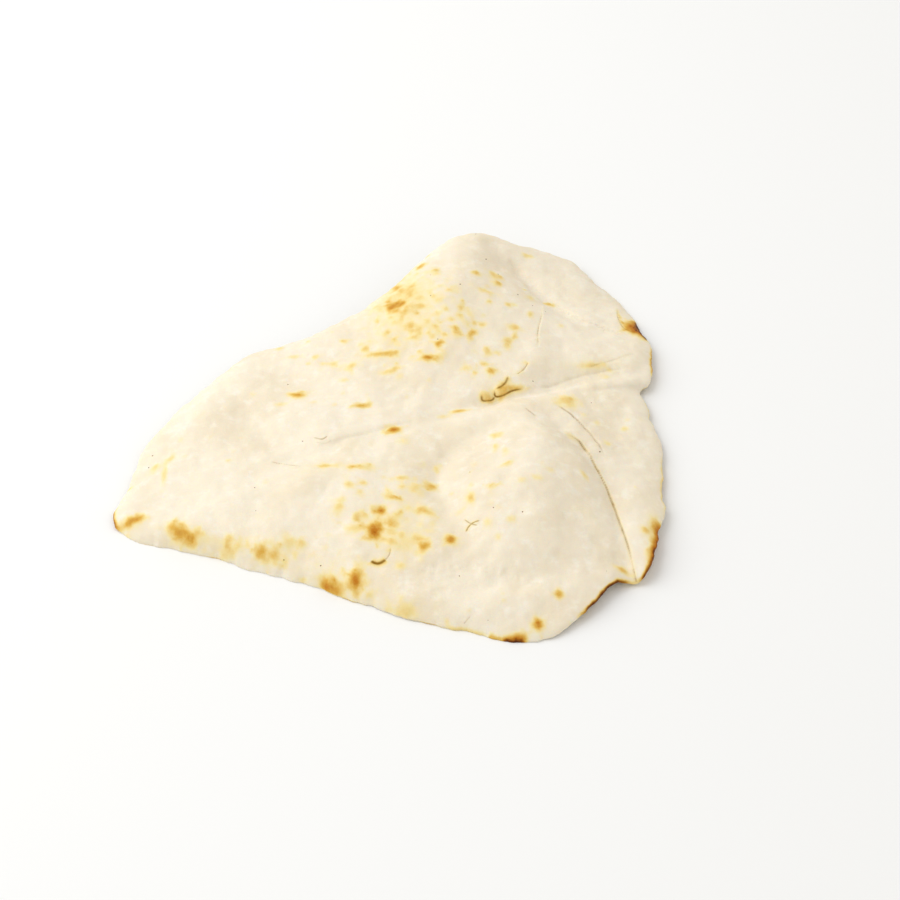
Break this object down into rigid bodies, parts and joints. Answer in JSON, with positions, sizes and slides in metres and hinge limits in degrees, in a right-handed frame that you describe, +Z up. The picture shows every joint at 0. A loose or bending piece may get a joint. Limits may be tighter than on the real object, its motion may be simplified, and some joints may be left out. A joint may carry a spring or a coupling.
{
  "type": "naan bread",
  "caption": "Thin draped flatbread with raised crowns, pinched folds, a hanging rim and browned blisters; baked dough that is torn and eaten by hand.",
  "frame": {"origin": "under the middle of the bread's plan box, on the surface that the bread lies on", "axes": "+Z up out of that surface, -X towards the narrow tip, +Y towards the raised back rim"},
  "size_m": [0.2522, 0.2644, 0.0275],
  "materials": {
    "crust": "matte"
  },
  "bodies": {
    "root": {"naan": "crust"}
  },
  "joints": []
}
